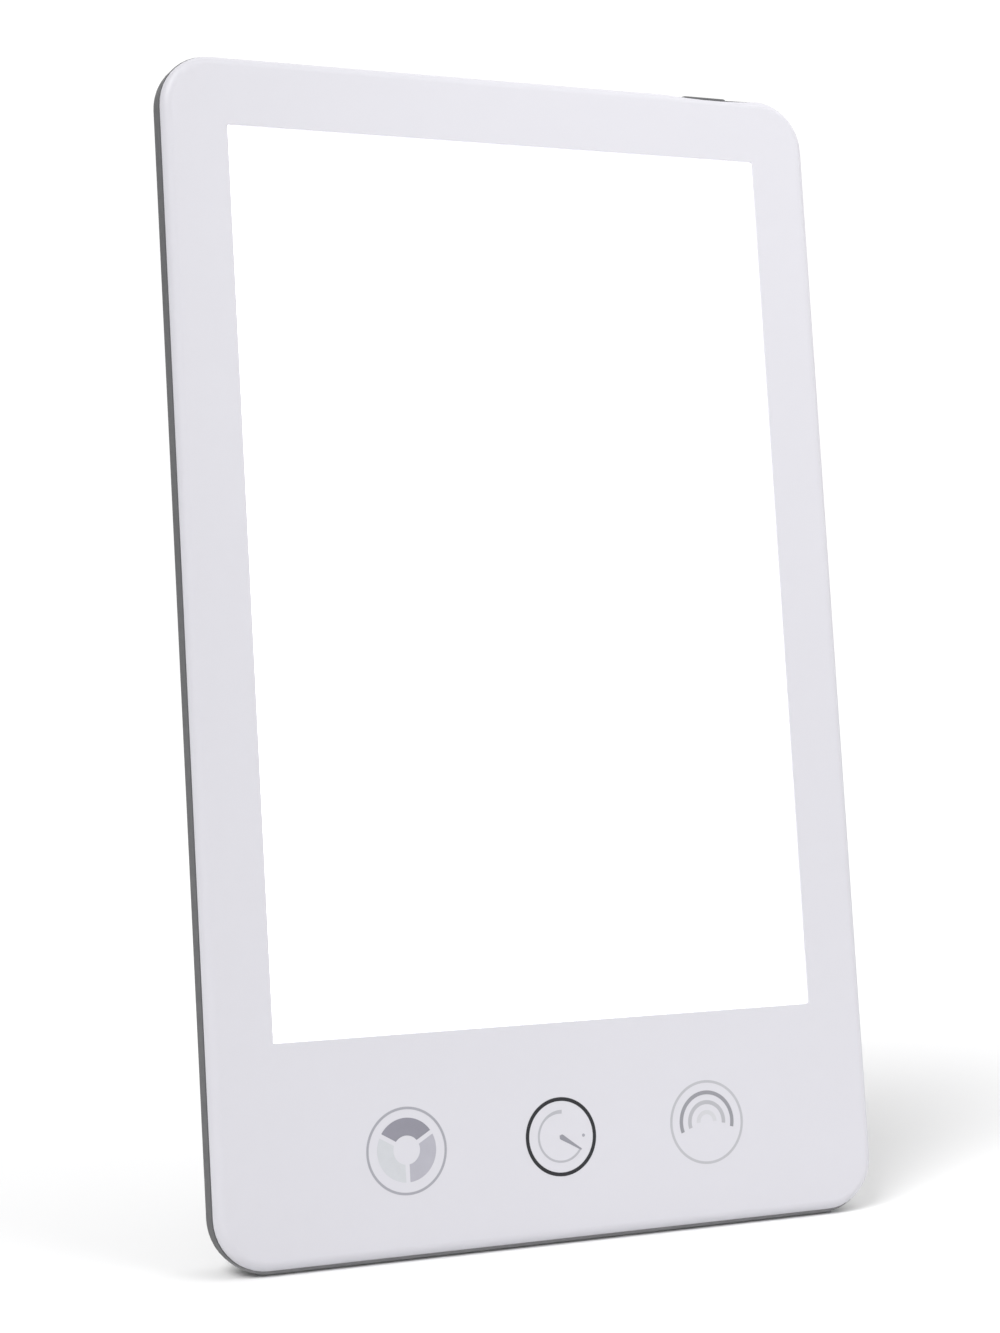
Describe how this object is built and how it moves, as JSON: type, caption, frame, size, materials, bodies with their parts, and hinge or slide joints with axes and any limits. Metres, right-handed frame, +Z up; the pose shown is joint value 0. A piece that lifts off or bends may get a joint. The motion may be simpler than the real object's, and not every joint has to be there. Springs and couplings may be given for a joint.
{
  "type": "light therapy lamp",
  "caption": "Slim upright light therapy panel with a rectangular light window, round touch keys, an edge power button and a fold-out rear stand leg.",
  "frame": {"origin": "on the table, under the middle of the bounding box of the lamp standing on its opened leg", "axes": "+Z up; the lit face looks towards -Y and leans back 7.8 degrees, the leg stands out towards +Y; +X is to the right seen from the front"},
  "size_m": [0.1508, 0.0846, 0.2444],
  "materials": {
    "white_cover": "fine satin moulded",
    "dark_housing": "fine textured moulded",
    "window_opal": "smooth opal",
    "clear_sheet": "clear, dot printed",
    "film_white": "matt film",
    "aluminium_sheet": "mill finish",
    "frame_white": "matt moulded",
    "circuit_board": "solder mask",
    "led_yellow": "phosphor",
    "copper_pad": "bare copper",
    "black_component": "matt",
    "cream_connector": "moulded",
    "wire_jacket": "smooth",
    "ribbon_film": "film",
    "button_plastic": "satin moulded",
    "zinc_steel": "zinc plated",
    "screw_steel": "black oxide",
    "nickel_pin": "nickel plated",
    "pad_rubber": "matt",
    "foam": "open foam"
  },
  "bodies": {
    "lamp_body": {"front_cover": "white_cover", "window_lens": "window_opal", "diffuser_sheet": "film_white", "prism_sheet": "clear_sheet", "light_guide_plate": "clear_sheet", "reflector_sheet": "film_white", "heat_spreader_tray": "aluminium_sheet", "led_boards": "aluminium_sheet", "led_packages": "led_yellow", "light_panel_frame": "frame_white", "led_tail_connectors": "cream_connector", "touch_electrodes": "copper_pad", "touch_board": "circuit_board", "touch_controller_chips": "black_component", "driver_board": "circuit_board", "driver_inductor": "black_component", "driver_capacitors": "black_component", "driver_chips": "black_component", "driver_connectors": "cream_connector", "board_screws": "zinc_steel", "dc_jack_board": "circuit_board", "dc_jack_housing": "black_component", "dc_jack_centre_pin": "nickel_pin", "dc_wires": "wire_jacket", "led_wires": "wire_jacket", "switch_ribbon": "ribbon_film", "switch_board": "circuit_board", "power_switch_body": "black_component", "rear_housing": "dark_housing", "case_screws": "screw_steel", "rear_foam_pads": "foam", "foot_strip": "pad_rubber", "hinge_brackets": "zinc_steel", "bracket_screws": "screw_steel", "friction_washers": "zinc_steel", "hinge_pin": "zinc_steel"},
    "stand": {"stand_leg": "dark_housing", "stand_foot_pad": "pad_rubber"},
    "power_key": {"power_button": "button_plastic", "power_switch_plunger": "cream_connector"}
  },
  "joints": [
    {"name": "stand_leg_fold", "type": "hinge", "parent": "lamp_body", "child": "stand", "pos_m": [0, -0.02673, 0.03046], "axis": [1, 0, 0], "range_deg": [0, 105.2]},
    {"name": "power_button_press", "type": "slide", "parent": "lamp_body", "child": "power_key", "axis": [0, -0.136, -0.9907], "range_m": [0, 0.0006], "stiffness_N_per_m": 2500, "springref_m": -0.0002}
  ]
}
